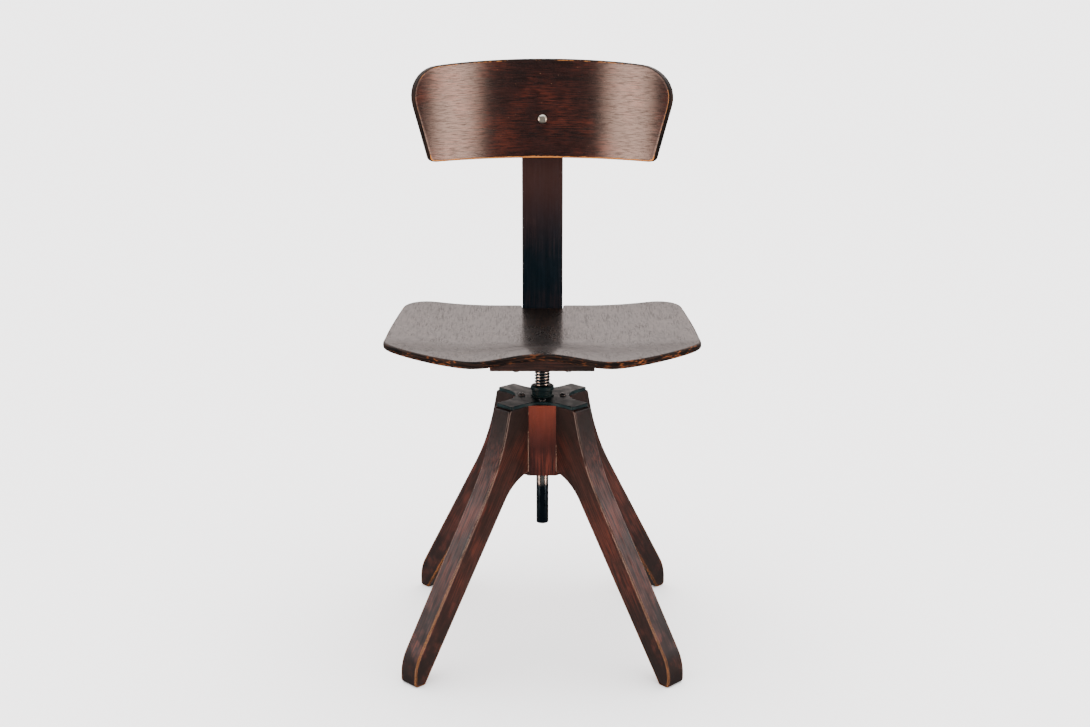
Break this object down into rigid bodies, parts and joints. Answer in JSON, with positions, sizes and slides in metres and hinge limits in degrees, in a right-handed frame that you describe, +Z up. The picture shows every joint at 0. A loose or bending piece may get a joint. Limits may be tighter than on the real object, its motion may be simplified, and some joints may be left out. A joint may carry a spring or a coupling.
{
  "type": "drafting chair",
  "caption": "Swivelling screw stool on four sloping wooden legs, with a moulded saddle seat and a narrow curved backrest on one upright.",
  "frame": {"origin": "on the floor under the spindle's axis, midway between the four feet", "axes": "+Z up along the spindle, -Y towards the front edge of the seat, +X to the right as seen from the front"},
  "size_m": [0.402, 0.3994, 0.7523],
  "materials": {
    "leg_wood": "dark red-brown stained and lacquered, worn along the edges",
    "hub_wood": "red-brown stained and lacquered",
    "dowel_wood": "plain",
    "block_wood": "dark brown stained",
    "seat_ply": "dark brown stained plywood, glossy lacquer, chipped front edge",
    "upright_ply": "nearly black stained, satin",
    "backrest_ply": "red-brown stained plywood, lacquered, worn rim",
    "iron": "dark green-black",
    "dark_steel": "blackened, semi-matt",
    "spindle_steel": "bright on the thread, blued on the pilot",
    "nickel_steel": "dull nickel plate"
  },
  "bodies": {
    "base": {"hub_column": "hub_wood", "leg_front_left": "leg_wood", "leg_front_right": "leg_wood", "leg_back_left": "leg_wood", "leg_back_right": "leg_wood", "leg_dowels": "dowel_wood", "spider_plate": "iron", "spindle_nut": "iron", "collar_screws": "dark_steel", "guide_bush": "iron"},
    "screw": {"spindle": "spindle_steel"},
    "seat": {"spindle_flange": "iron", "flange_screws": "dark_steel", "seat_block": "block_wood", "block_screws": "dark_steel", "seat_shell": "seat_ply", "upright": "upright_ply", "lap_screws": "dark_steel"},
    "backrest": {"backrest_shell": "backrest_ply", "backrest_saddle": "block_wood", "backrest_bolt": "nickel_steel", "backrest_washer": "nickel_steel"},
    "wing": {"wing_nut": "nickel_steel"}
  },
  "joints": [
    {"name": "seat_height", "type": "slide", "parent": "base", "child": "screw", "axis": [0, 0, 1], "range_m": [-0.02601, 0.05001]},
    {"name": "seat_turn", "type": "hinge", "parent": "screw", "child": "seat", "pos_m": [0, 0, 0.3725], "axis": [0, 0, 1], "range_deg": [-2340, 4500]},
    {"name": "backrest_height", "type": "slide", "parent": "seat", "child": "backrest", "axis": [0, 0, 1], "range_m": [-0.025, 0.025]},
    {"name": "wing_nut_turn", "type": "hinge", "parent": "backrest", "child": "wing", "pos_m": [0, 0.19, 0.672], "axis": [0, 1, 0], "continuous": true}
  ],
  "couplings": [
    {"joint": "seat_height", "follows": "seat_turn", "m_per_rad": 0.00063662}
  ]
}
